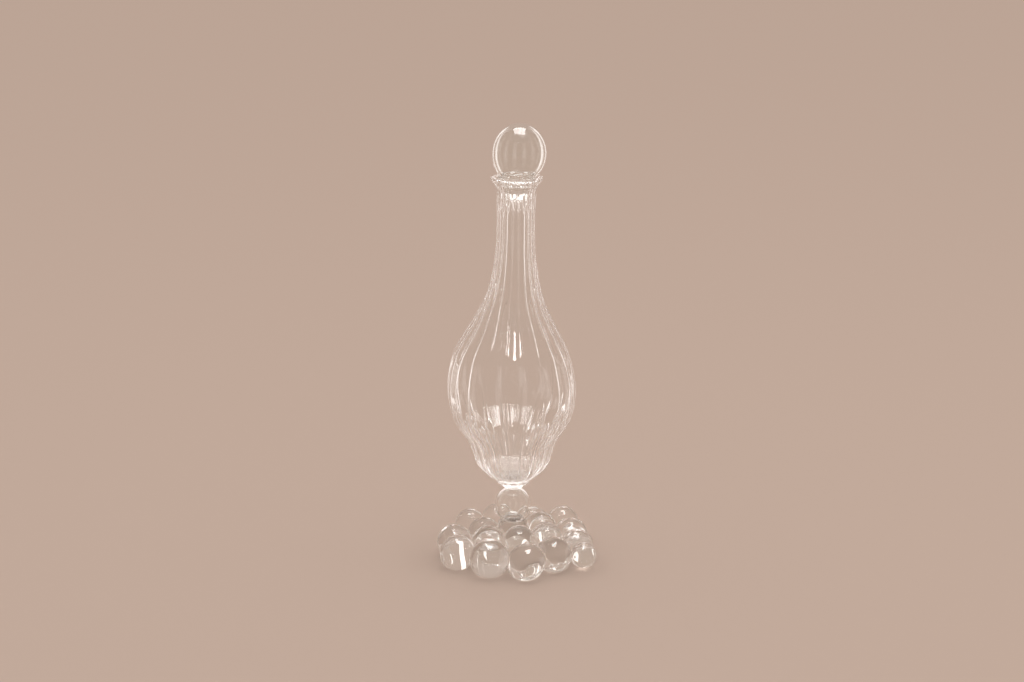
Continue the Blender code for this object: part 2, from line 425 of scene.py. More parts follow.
def piece_from(name: str, shape: bmesh.types.BMesh) -> bpy.types.Object:
    """Turns a bmesh into a smooth-shaded object, and frees it.

    Args:
        name: The piece's name.
        shape: The bmesh.

    Returns:
        The new object.
    """
    mesh = bpy.data.meshes.new(name)
    bmesh.ops.recalc_face_normals(shape, faces=shape.faces[:])
    shape.to_mesh(mesh)
    shape.free()
    mesh.shade_smooth()
    piece = bpy.data.objects.new(name, mesh)
    bpy.context.scene.collection.objects.link(piece)
    return piece


def unevenness(point: Vector, size: float, seed: float) -> float:
    """Soft, repeatable noise from about -1 to 1.

    Args:
        point: Where it is read.
        size: The size of one swell, in metres.
        seed: Moves the pattern.

    Returns:
        The noise.
    """
    return noise.noise(point / size + Vector([seed * share for share in SEED_SHARES]))


def dress(
    piece: bpy.types.Object, material: bpy.types.Material, slot: Slot, body: Body, *nodes: str
) -> None:
    """Gives a piece its material and its body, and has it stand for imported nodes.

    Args:
        piece: The piece.
        material: Its material.
        slot: The record's slot; not used.
        body: The body that it rides on.
        nodes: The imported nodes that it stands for.
    """
    piece.data.materials.append(material)
    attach(piece, body.value)
    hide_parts(*nodes)
    LOG.info("%s: %d faces, for %s", piece.name, len(piece.data.polygons), ", ".join(nodes))


# Sub-assemblies


@dataclass
class Vessel:
    """Bowl, shoulder, neck and lip in one blown piece, ribbed by the mould and then drawn out."""

    base_thickness: float = 0.0032
    # How high the round floor inside reaches, in base thicknesses
    floor_reach: float = 1.3
    wall: float = 0.0020
    ribs: int = 20
    # Makes a ridge half as high at half its width from the crest
    ridge_fall: float = 2.77
    # The rim: how high it waves, from which share of the height, how much of that follows the ribs, and
    # how far its slant is turned
    rim_wave: float = 0.00035
    rim_from: float = 0.94
    rim_rib_share: float = 0.6
    rim_turn: float = 0.7
    neck_lean: float = 0.0028
    turn: float = math.radians(9.0)
    twist: float = math.radians(3.4)
    swell: float = 0.00014
    swell_size: float = 0.030
    skin_seeds: Mapping[Skin, float] = field(default_factory=lambda: {Skin.OUTER: 1.7, Skin.INNER: 5.3})
    # The mesh: how far apart its rings are, and its columns over each crest and each flute
    ring_step: float = 0.0015
    crest_share: float = 0.10
    crest_columns: int = 14
    valley_columns: int = 18
    lip_steps: int = 10
    floor_steps: int = 8
    # Inside this radius the ribs and swells fade towards the axis
    fade_radius: float = 0.0134

    # Height above the base and outer radius, both in millimetres
    profile: tuple[Pair, ...] = (
        (0.0, 10.8), (0.9, 13.2), (4.3, 18.0), (8.4, 22.7), (12.6, 26.4), (16.8, 28.7), (25.1, 30.7),
        (33.4, 33.9), (41.7, 39.4), (50.0, 45.0), (58.3, 48.4), (66.5, 50.2), (76.4, 50.9), (83.0, 50.6),
        (91.2, 49.4), (99.4, 47.45), (107.6, 44.65), (115.8, 40.3), (124.0, 35.6), (132.1, 31.2),
        (140.3, 27.1), (148.4, 23.5), (156.5, 20.8), (164.6, 18.95), (172.7, 17.5), (180.7, 16.4),
        (188.8, 15.6), (196.8, 15.2), (212.8, 15.0), (228.8, 15.0), (235.4, 15.2), (239.0, 15.8),
        (242.0, 17.2), (244.0, 18.8), (245.3, 20.0),
    )
    # The tables of pairs from here on go by share of the height, with lengths in metres

    # How far the soft ribs swell out and in
    rib_swells: tuple[Pair, ...] = (
        (0.0, 0.0), (0.05, 0.0004), (0.10, 0.0007), (0.15, 0.0007), (0.20, 0.0005), (0.25, 0.0002),
        (0.30, 0.00005), (0.40, 0.00004), (0.44, 0.0003), (0.47, 0.00045), (0.53, 0.0004), (0.60, 0.00018),
        (0.70, 0.00005), (0.88, 0.00005), (0.92, 0.0003), (0.96, 0.00045), (1.0, 0.0003),
    )
    # How much of that the inner skin follows
    inside_shares: tuple[Pair, ...] = ((0.0, 1.0), (0.6, 1.0), (0.85, 0.0), (1.0, 0.0))
    # How high the fine ridges along the crests stand
    ridge_heights: tuple[Pair, ...] = (
        (0.0, 0.0), (0.04, 0.0004), (0.13, 0.00060), (0.19, 0.00050), (0.235, 0.00010), (0.40, 0.00006),
        (0.45, 0.00020), (0.50, 0.00028), (0.62, 0.00026), (0.75, 0.00018), (0.95, 0.00016), (1.0, 0.0002),
    )
    # How wide the ridges are at half their height
    ridge_widths: tuple[Pair, ...] = (
        (0.0, 0.0009), (0.15, 0.0014), (0.35, 0.0012), (0.55, 0.0009), (0.7, 0.0007), (1.0, 0.0006),
    )
    # How much of the ridges each skin has
    ridge_on: Mapping[Skin, float] = field(default_factory=lambda: {Skin.OUTER: 1.0, Skin.INNER: 0.0})
    # Ridges that run on over the belly: by rib number, how high they stand there
    long_ribs: Mapping[int, float] = field(default_factory=lambda: {
        2: 0.00020, 5: 0.00018, 8: 0.00022, 12: 0.00028, 17: 0.00020, 18: 0.00026,
    })
    # How much of that height they have
    long_shares: tuple[Pair, ...] = ((0.2, 0.0), (0.25, 1.0), (0.42, 1.0), (0.48, 0.0))
    # Fine upright streaks in the lower bowl: how deep they are, and each wave's count, turn and strength
    streak_depths: tuple[Pair, ...] = (
        (0.0, 0.0), (0.09, 0.0), (0.12, 0.00010), (0.15, 0.00026), (0.20, 0.00026), (0.24, 0.00010),
        (0.28, 0.0), (1.0, 0.0),
    )
    streak_waves: tuple[tuple[int, float, float], ...] = ((41, 0.4, 1.0), (57, 2.1, 0.35))
    # How much of the neck's lean and of the twist there is
    lean_shares: tuple[Pair, ...] = (
        (0.0, 0.0), (0.3, -0.37), (0.42, -0.52), (0.57, 0.05), (0.68, 0.5), (1.0, 1.0),
    )
    twist_shares: tuple[Pair, ...] = (
        (0.0, 0.7), (0.13, 0.7), (0.30, 0.9), (0.42, 1.0), (0.50, 1.0), (0.63, 0.0), (1.0, 0.0),
    )

    def __post_init__(self) -> None:
        """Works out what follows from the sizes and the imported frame."""
        self.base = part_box("vessel")[0].z
        self.outer_curve = Curve([
            (height / MM_PER_M, radius / MM_PER_M) for height, radius in self.profile
        ])
        self.height = self.outer_curve.rows[-1][0]
        self.rib_curve = Curve(self.rib_swells)
        self.inside_curve = Curve(self.inside_shares)
        self.ridge_curve = Curve(self.ridge_heights)
        self.width_curve = Curve(self.ridge_widths)
        self.long_curve = Curve(self.long_shares)
        self.streak_curve = Curve(self.streak_depths)
        self.lean_curve = Curve(self.lean_shares)
        self.twist_curve = Curve(self.twist_shares)

    def outline(self) -> tuple[list[Pair], int]:
        """The whole outline, and where its inner skin begins.

        Returns:
            Points of (radius, height) from the middle of the underside up the outside, over the lip and
            down the inside, and the number of the first inner point.
        """
        count = round(self.height / self.ring_step)
        heights = [self.height * i / count for i in range(count + 1)]
        outside = [(self.outer_curve.at(height), height) for height in heights]
        normals = outward(outside)
        inside = [
            (radius - self.wall * out, height - self.wall * up)
            for (radius, height), (out, up) in zip(outside, normals)
        ]
        inside = [point for point in inside if point[1] > self.base_thickness * self.floor_reach]
        edge, (out, up) = outside[-1], normals[-1]
        half = self.wall / 2.0
        middle = (edge[0] - half * out, edge[1] - half * up)
        lip = []
        for step in range(1, self.lip_steps):
            angle = math.pi * step / self.lip_steps
            across, along = math.cos(angle) * half, math.sin(angle) * half
            lip.append((middle[0] + across * out - along * up, middle[1] + across * up + along * out))
        floor = []
        for step in range(1, self.floor_steps):
            angle = math.pi / 2.0 * step / self.floor_steps
            rise = inside[0][1] - self.base_thickness
            radius = inside[0][0] * math.cos(angle)
            floor.append((radius, self.base_thickness + rise * (1.0 - math.sin(angle))))
        points = [(0.0, 0.0), *outside, *lip, *reversed(inside), *floor, (0.0, self.base_thickness)]
        return points, 1 + len(outside) + len(lip) // 2

    def rib(self, radius: float, angle: float, share: float, skin: Skin) -> float:
        """How far a rib lifts a skin.

        Args:
            radius: The skin's radius.
            angle: The angle round the axis.
            share: The share of the vessel's height.
            skin: Which face of the wall.

        Returns:
            The lift, in metres, below zero in a flute.
        """
        pitch = math.tau / self.ribs
        number = round(angle / pitch)
        away = abs(angle - number * pitch) * radius
        follows = self.inside_curve.at(share) if skin is Skin.INNER else 1.0
        soft = self.rib_curve.at(share) * (math.cos(self.ribs * angle) * follows)
        sharp = math.exp(-self.ridge_fall * (away / self.width_curve.at(share)) ** 2)
        run = self.long_ribs.get(number % self.ribs, 0.0) * self.long_curve.at(share)
        ridge = self.ridge_on[skin] * max(self.ridge_curve.at(share), run) * sharp
        waves = sum(
            strength * math.sin(count * angle + turn) for count, turn, strength in self.streak_waves
        )
        return soft + ridge + self.streak_curve.at(share) * waves

    def columns(self) -> list[float]:
        """The columns' angles, closer together along the crests.

        Returns:
            The angles round the axis, in order.
        """
        pitch = math.tau / self.ribs
        crest = [self.crest_share * (2.0 * i / self.crest_columns - 1.0) for i in range(self.crest_columns)]
        valley = 1.0 - 2.0 * self.crest_share
        rest = [self.crest_share + valley * i / self.valley_columns for i in range(self.valley_columns)]
        return [pitch * (rib + at) for rib in range(self.ribs) for at in (*crest, *rest)]

    def place(self, radius: float, angle: float, height: float, skin: Skin) -> Vector:
        """Where a point of the blown form lies.

        Args:
            radius: Its distance from the axis in the plain outline.
            angle: Its angle round the axis.
            height: Its height above the base.
            skin: Which face of the wall it is on.

        Returns:
            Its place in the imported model's frame.
        """
        share = height / self.height
        fade = min(1.0, radius / self.fade_radius)
        radius += fade * self.rib(radius, angle, share, skin)
        spun = angle + self.turn + self.twist * self.twist_curve.at(share)
        point = polar(radius, spun, height)
        swell = fade * self.swell * unevenness(point, self.swell_size, self.skin_seeds[skin])
        point.x += math.cos(spun) * swell + self.neck_lean * self.lean_curve.at(share)
        point.y += math.sin(spun) * swell
        rim = max(0.0, (share - self.rim_from) / (1.0 - self.rim_from)) ** 2
        wave = self.rim_rib_share * math.cos(self.ribs * angle) + math.sin(2.0 * angle + self.rim_turn)
        point.z += self.base + self.rim_wave * rim * wave
        return point

    def build(self) -> bpy.types.Object:
        """Makes the vessel's mesh.

        Returns:
            The new object.
        """
        points, first_inner = self.outline()
        skins = {
            (radius, height): Skin.OUTER if number < first_inner else Skin.INNER
            for number, (radius, height) in enumerate(points)
        }

        def move(radius: float, angle: float, height: float) -> Vector:
            """A point's place, on the skin that it belongs to."""
            return self.place(radius, angle, height, skins[radius, height])

        return turned("blown_vessel", points, self.columns(), move)

    def dress(self, glass: HotGlass) -> None:
        """Builds and dresses the vessel in this glass."""
        dress(self.build(), glass.material(), Slot.VESSEL, Body.CARAFE, "vessel")


@dataclass
class HollowBall:
    """A blown, hollow ball that is open below, where it was set on its neighbour."""

    name: str
    node: str
    slot: Slot
    body: Body
    radius: float
    half_height: float
    wall: float
    seat_radius: float
    top_radius: float = 0.0
    lean: float = 0.0
    # How much of the lean there is, by share of the height up to the middle
    lean_shares: tuple[Pair, ...] = ((0.0, 0.35), (0.45, 0.8), (1.0, 1.0))
    swell: float = 0.00012
    swell_size: float = 0.018
    sides: int = 96
    steps: int = 44
    seed: float = 2.1

    def __post_init__(self) -> None:
        """Works out the seat and the middle."""
        low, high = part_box(self.node)
        self.seat = self.half_height * math.sqrt(1.0 - (self.seat_radius / self.radius) ** 2)
        self.base = low.z
        self.axis_x = (low.x + high.x) / 2.0 - self.lean
        self.axis_y = (low.y + high.y) / 2.0
        self.lean_curve = Curve(self.lean_shares)

    def outline(self) -> list[Pair]:
        """The closed outline, from its top down the outside and back up the inside.

        Returns:
            Points of (radius, height above the seat).
        """
        first = math.asin(self.top_radius / self.radius)
        last = math.pi - math.asin(self.seat_radius / self.radius)
        outside = []
        for step in range(self.steps + 1):
            angle = first + (last - first) * step / self.steps
            outside.append((self.radius * math.sin(angle), self.seat + self.half_height * math.cos(angle)))
        hollow_radius, hollow_half = self.radius - self.wall, self.half_height - self.wall
        hollow_last = math.pi - math.acos(self.seat / hollow_half)
        inside = []
        for step in range(self.steps):
            angle = hollow_last * (self.steps - step) / self.steps
            inside.append((hollow_radius * math.sin(angle), self.seat + hollow_half * math.cos(angle)))
        top = [(0.0, outside[0][1])] if self.top_radius else []
        rest = outside if self.top_radius else [(0.0, outside[0][1]), *outside[1:]]
        return [*top, *rest, *inside, (0.0, self.seat + hollow_half)]

    def place(self, radius: float, angle: float, height: float) -> Vector:
        """Where a point lies, with the ball's lean and a slight unevenness.

        Args:
            radius: Its distance from the axis in the plain outline.
            angle: Its angle round the axis.
            height: Its height above the seat.

        Returns:
            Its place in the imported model's frame.
        """
        point = polar(radius, angle, height)
        calm = min(1.0, max(0.0, height) / self.wall) if radius else 1.0
        swell = calm * self.swell * unevenness(point, self.swell_size, self.seed)
        point.x += math.cos(angle) * swell + self.lean * self.lean_curve.at(height / self.seat)
        point.y += math.sin(angle) * swell
        return point + Vector((self.axis_x, self.axis_y, self.base))

    def dress(self, glass: HotGlass) -> None:
        """Builds and dresses the ball in this glass."""
        piece = turned(self.name, self.outline(), even_angles(self.sides), self.place)
        dress(piece, glass.material(), self.slot, self.body, self.node)


@dataclass
class Merese:
    """The small flared collar between knop and bowl."""

    top_radius: float = 0.0131
    stem_radius: float = 0.0075
    # By share of the height: how much of the spread from stem to top the edge has
    shares: tuple[Pair, ...] = (
        (1.0, 0.82), (0.98, 0.93), (0.92, 1.0), (0.85, 0.98), (0.75, 0.88), (0.60, 0.69),
        (0.42, 0.46), (0.28, 0.28), (0.16, 0.14), (0.06, 0.05), (0.0, 0.02),
    )
    sides: int = 96
    steps: int = 4
    swell: float = 0.00015
    # The noise is read round a circle: the steps that its radius takes, and the radii that a metre of
    # height counts as
    swell_rate: float = 1.5
    swell_rise: float = 50.0

    def place(self, radius: float, angle: float, height: float) -> Vector:
        """Where a point lies: the collar's edge was pinched by hand and is a little out of round.

        Args:
            radius: Its distance from the axis in the plain outline.
            angle: Its angle round the axis.
            height: Its height.

        Returns:
            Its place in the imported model's frame.
        """
        spot = polar(1.0, angle, height * self.swell_rise)
        reach = radius + self.swell * noise.noise(spot * self.swell_rate)
        return polar(reach, angle, height)

    def dress(self, glass: HotGlass) -> None:
        """Builds and dresses the collar.

        Args:
            glass: The glass that it is made of.
        """
        low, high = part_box("merese")
        height = high.z - low.z
        spread = self.top_radius - self.stem_radius
        outline = [(0.0, high.z)]
        for at, share in self.shares:
            outline.append((self.stem_radius + spread * share, low.z + height * at))
        outline.append((0.0, low.z))
        piece = turned("merese_collar", rounded(outline, self.steps), even_angles(self.sides), self.place)
        dress(piece, glass.material(), Slot.FOOT, Body.CARAFE, "merese")


def spline(before: float, start: float, end: float, after: float, t: float) -> float:
    """A smooth spline's value between the middle two of four numbers.

    Args:
        before: The first number.
        start: The second, where the stretch starts.
        end: The third, where it ends.
        after: The fourth.
        t: How far along the stretch, from 0 to 1.

    Returns:
        The value there.
    """
    bend = (2 * before - 5 * start + 4 * end - after) * t * t
    twist = (3 * start - before - 3 * end + after) * t ** 3
    return 0.5 * (2 * start + (end - before) * t + bend + twist)


def rounded(outline: Sequence[Pair], steps: int) -> list[Pair]:
    """An outline with its inner points joined by a smooth spline.

    Args:
        outline: Points, of which the first and last lie on the axis.
        steps: Points to make between two neighbours.

    Returns:
        The finer outline.
    """
    points = [outline[0]]
    body = outline[1:-1]
    for i in range(len(body) - 1):
        a, b, c, d = (body[max(0, min(len(body) - 1, i + k))] for k in (-1, 0, 1, 2))
        for step in range(steps):
            points.append(tuple(spline(p, q, r, s, step / steps) for p, q, r, s in zip(a, b, c, d)))
    points.append(body[-1])
    points.append(outline[-1])
    return points


@dataclass
class FootCore:
    """The solid gather in the middle of the foot, which carries the knop."""

    base_radius: float = 0.0100
    top_radius: float = 0.0100
    radius: float = 0.0132
    steps: int = 40
    sides: int = 96
    swell: float = 0.00025
    swell_size: float = 0.012
    seed: float = 4.4

    def place(self, radius: float, angle: float, height: float) -> Vector:
        """Where a point lies, a little uneven.

        Args:
            radius: Its distance from the axis in the plain outline.
            angle: Its angle round the axis.
            height: Its height.

        Returns:
            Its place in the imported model's frame.
        """
        point = polar(radius, angle, height)
        swell = self.swell * unevenness(point, self.swell_size, self.seed) if radius else 0.0
        return point + polar(swell, angle, 0.0)

    def dress(self, glass: HotGlass) -> None:
        """Builds and dresses the core.

        Args:
            glass: The glass that it is made of.
        """
        low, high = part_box("foot_core")
        below = math.sqrt(1.0 - (self.base_radius / self.radius) ** 2)
        above = math.sqrt(1.0 - (self.top_radius / self.radius) ** 2)
        half = (high.z - low.z) / (below + above)
        first = math.asin(self.top_radius / self.radius)
        last = math.pi - math.asin(self.base_radius / self.radius)
        outline = [(0.0, high.z)]
        for step in range(self.steps + 1):
            angle = first + (last - first) * step / self.steps
            outline.append((self.radius * math.sin(angle), low.z + half * (below + math.cos(angle))))
        outline.append((0.0, low.z))
        piece = turned("foot_gather", outline, even_angles(self.sides), self.place)
        dress(piece, glass.material(), Slot.FOOT, Body.CARAFE, "foot_core")


@dataclass
class BallFoot:
    """The solid balls, set down hot: each sags a little and is pressed flat where it meets the next."""

    clearance: float = 0.0003
    # How far a ball reaches past its packed skin before it is pressed, and how softly the flat's edge runs
    press: float = 0.0004
    press_blend: float = 0.0005
    # The outline's power below and above the middle: 2 is round, and more sags
    sag_power: float = 2.35
    round_power: float = 2.0
    swell_share: float = 0.028
    swell_size: float = 0.020
    first_seed: float = 1.0
    seed_step: float = 3.1
    subdivisions: int = 6
    # How wide and how tall a ball is, in shares of its packed radius, and its lean to +X: for most balls,
    # and by node for those that differ
    plain_shape: tuple[float, float, float] = (1.0, 1.0, 0.0)
    shapes: Mapping[str, tuple[float, float, float]] = field(default_factory=lambda: {
        "outer_foot_ball_02": (1.0, 1.0, 0.10),
        "outer_foot_ball_12": (0.98, 1.0, 0.05),
    })

    def nodes(self) -> list[str]:
        """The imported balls' names."""
        return sorted(name for name in frame["nodes"] if "_foot_ball_" in name)

    def middles(self) -> dict[str, tuple[Vector, float]]:
        """Each packed ball's middle and radius.

        Returns:
            By node, the middle and the radius.
        """
        found = {}
        for name in self.nodes():
            low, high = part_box(name)
            radius = (high.x - low.x) / 2.0
            found[name] = (Vector(((low.x + high.x) / 2.0, (low.y + high.y) / 2.0, high.z - radius)), radius)
        return found

    def neighbours(self, name: str, balls: Mapping[str, tuple[Vector, float]]) -> list[tuple[Vector, float]]:
        """The flats where a ball meets others.

        Args:
            name: The ball's node.
            balls: Every ball's middle and radius.

        Returns:
            For each touching ball, the way to it and the distance to the flat.
        """
        middle, radius = balls[name]
        flats = []
        for other, (place, size) in balls.items():
            apart = (place - middle).length
            if other != name and apart < radius + size + self.clearance + 2.0 * self.press:
                flats.append(((place - middle) / apart, apart - size - self.clearance / 2.0))
        return flats

    def surface(self, name: str, way: Vector, radius: float, seed: float) -> Vector:
        """A point of the ball's skin before it is pressed, from its middle.

        Args:
            name: The ball's node.
            way: A unit vector from the middle.
            radius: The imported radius.
            seed: Moves the unevenness.

        Returns:
            The point.
        """
        wide, tall, lean = self.shapes.get(name, self.plain_shape)
        power = self.sag_power if way.z < 0.0 else self.round_power
        across = math.hypot(way.x, way.y)
        reach = (across ** power + abs(way.z) ** power) ** (-1.0 / power)
        swell = 1.0 + self.swell_share * unevenness(way * radius, self.swell_size, seed)
        point = way * (radius + self.press) * reach * swell
        return Vector((point.x * wide + lean * point.z, point.y * wide, point.z * tall))

    def ball(self, name: str, balls: Mapping[str, tuple[Vector, float]], seed: float) -> bpy.types.Object:
        """Makes one ball.

        Args:
            name: Its node.
            balls: Every ball's middle and radius.
            seed: Moves its unevenness.

        Returns:
            The new object.
        """
        middle, radius = balls[name]
        flats = self.neighbours(name, balls)
        shape = bmesh.new()
        bmesh.ops.create_icosphere(shape, subdivisions=self.subdivisions, radius=1.0)
        for vertex in shape.verts:
            point = self.surface(name, vertex.co.normalized(), radius, seed)
            for way, distance in flats:
                over = point.dot(way) - distance
                if over > -self.press_blend:
                    eased = (over + self.press_blend) ** 2 / (4.0 * self.press_blend)
                    point -= way * (over if over > self.press_blend else eased)
            point.z = max(point.z, -middle.z)
            vertex.co = middle + point
        return piece_from(name.replace("_foot", ""), shape)

    def dress(self, glass: HotGlass) -> None:
        """Builds and dresses every ball.

        Args:
            glass: The glass that they are made of.
        """
        balls = self.middles()
        material = glass.material()
        for number, name in enumerate(balls):
            piece = self.ball(name, balls, self.first_seed + self.seed_step * number)
            dress(piece, material, Slot.FOOT, Body.CARAFE, name)


@dataclass
class StopperPlug:
    """The solid plug in the mouth, with its collar."""

    plug_radius: float = 0.0124
    # How far the collar's edge is rounded, and how much of that is left at its corner
    collar_round: float = 0.0006
    corner_share: float = 0.3
    collar_thickness: float = 0.0050
    step_height: float = 0.0006
    length: float = 0.0138
    # By share of the plug's length below the collar: its share of the radius
    plug_shares: tuple[Pair, ...] = (
        (0.0, 1.0), (0.20, 1.0), (0.35, 0.985), (0.48, 0.95), (0.60, 0.89), (0.70, 0.81), (0.80, 0.69),
        (0.88, 0.54), (0.94, 0.38), (0.98, 0.20),
    )
    sides: int = 96
    steps: int = 4
    swell: float = 0.00012
    swell_size: float = 0.010
    seed: float = 8.2

    def dress(self, glass: HotGlass) -> None:
        """Builds and dresses the plug.

        Args:
            glass: The glass that it is made of.
        """
        low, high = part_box("stopper_plug")
        collar = (high.x - low.x) / 2.0
        middle = Vector(((low.x + high.x) / 2.0, (low.y + high.y) / 2.0, 0.0))
        corner = self.collar_round * self.corner_share
        outline = [
            (0.0, high.z),
            (collar - self.collar_round, high.z),
            (collar - corner, high.z - corner),
            (collar, high.z - self.collar_round),
            (collar, high.z - self.collar_thickness + self.collar_round),
            (collar - self.collar_round, high.z - self.collar_thickness),
        ]
        for at, share in self.plug_shares:
            drop = self.collar_thickness + self.step_height + self.length * at
            outline.append((self.plug_radius * share, high.z - drop))
        outline.append((0.0, low.z))

        def place(radius: float, angle: float, height: float) -> Vector:
            """Where a point lies, a little uneven below the collar.

            Args:
                radius: Its distance from the axis in the plain outline.
                angle: Its angle round the axis.
                height: Its height.

            Returns:
                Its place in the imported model's frame.
            """
            point = polar(radius, angle, height)
            below = min(1.0, max(0.0, high.z - self.collar_thickness - height) / self.collar_thickness)
            swell = below * self.swell * unevenness(point, self.swell_size, self.seed) if radius else 0.0
            return middle + point + polar(swell, angle, 0.0)

        piece = turned("stopper_plug_glass", rounded(outline, self.steps), even_angles(self.sides), place)
        dress(piece, glass.material(), Slot.STOPPER, Body.STOPPER, "stopper_plug")


# Studio


# How the names begin of the pieces that some lamps light alone
VESSEL = ("blown_vessel",)
FOOT = ("inner_ball", "outer_ball", "foot_gather")
BUBBLES = ("knop_bubble", "stopper_", "merese")
# Bearings of eight screens, in degrees from +X, none of them straight behind the glass
EIGHT_WAYS = tuple(22.5 + 45.0 * i for i in range(8))


@dataclass(frozen=True)
class Softbox:
    """A soft rectangular lamp that the camera itself doesn't see."""

    name: str
    place: tuple[float, float, float]
    aim: tuple[float, float, float]
    width: float
    height: float
    power: float
    lights_floor: bool = True
    only_for: tuple[str, ...] = ()
    reflects: bool = True
    shows_through: bool = True

    def hang(self) -> None:
        """Adds the lamp, which lights only the pieces that it names, or all if it names none."""
        lamp = bpy.data.lights.new(self.name, "AREA")
        lamp.shape = "RECTANGLE"
        lamp.size = self.width
        lamp.size_y = self.height
        lamp.energy = self.power
        holder = bpy.data.objects.new(self.name, lamp)
        holder.location = self.place
        way = Vector(self.aim) - Vector(self.place)
        holder.rotation_euler = way.to_track_quat("-Z", "Y").to_euler()
        holder.visible_camera = False
        holder.visible_diffuse = self.lights_floor
        holder.visible_glossy = self.reflects
        holder.visible_transmission = self.shows_through
        bpy.context.scene.collection.objects.link(holder)
        if self.only_for:
            lit = bpy.data.collections.new(f"lit_by_{self.name}")
            for piece in bpy.data.objects:
                if piece.name.startswith(self.only_for):
                    lit.objects.link(piece)
            holder.light_linking.receiver_collection = lit


@dataclass(frozen=True)
class LampRing:
    """Lamps of one kind that stand round the glass and look at its axis."""

    name: str
    bearings: tuple[float, ...]
    distance: float
    lift: float
    aim: float
    width: float
    height: float
    radiance: float
    only_for: tuple[str, ...]
    reflects: bool = True
    shows_through: bool = True

    def hang(self) -> None:
        """Adds the lamps, by their bearings in degrees from +X."""
        for number, bearing in enumerate(self.bearings):
            angle = math.radians(bearing)
            Softbox(
                f"{self.name}_{number + 1}",
                place=(self.distance * math.cos(angle), self.distance * math.sin(angle), self.lift),
                aim=(0.0, 0.0, self.aim),
                width=self.width,
                height=self.height,
                power=self.radiance * math.pi * self.width * self.height,
                lights_floor=False,
                only_for=self.only_for,
                reflects=self.reflects,
                shows_through=self.shows_through,
            ).hang()


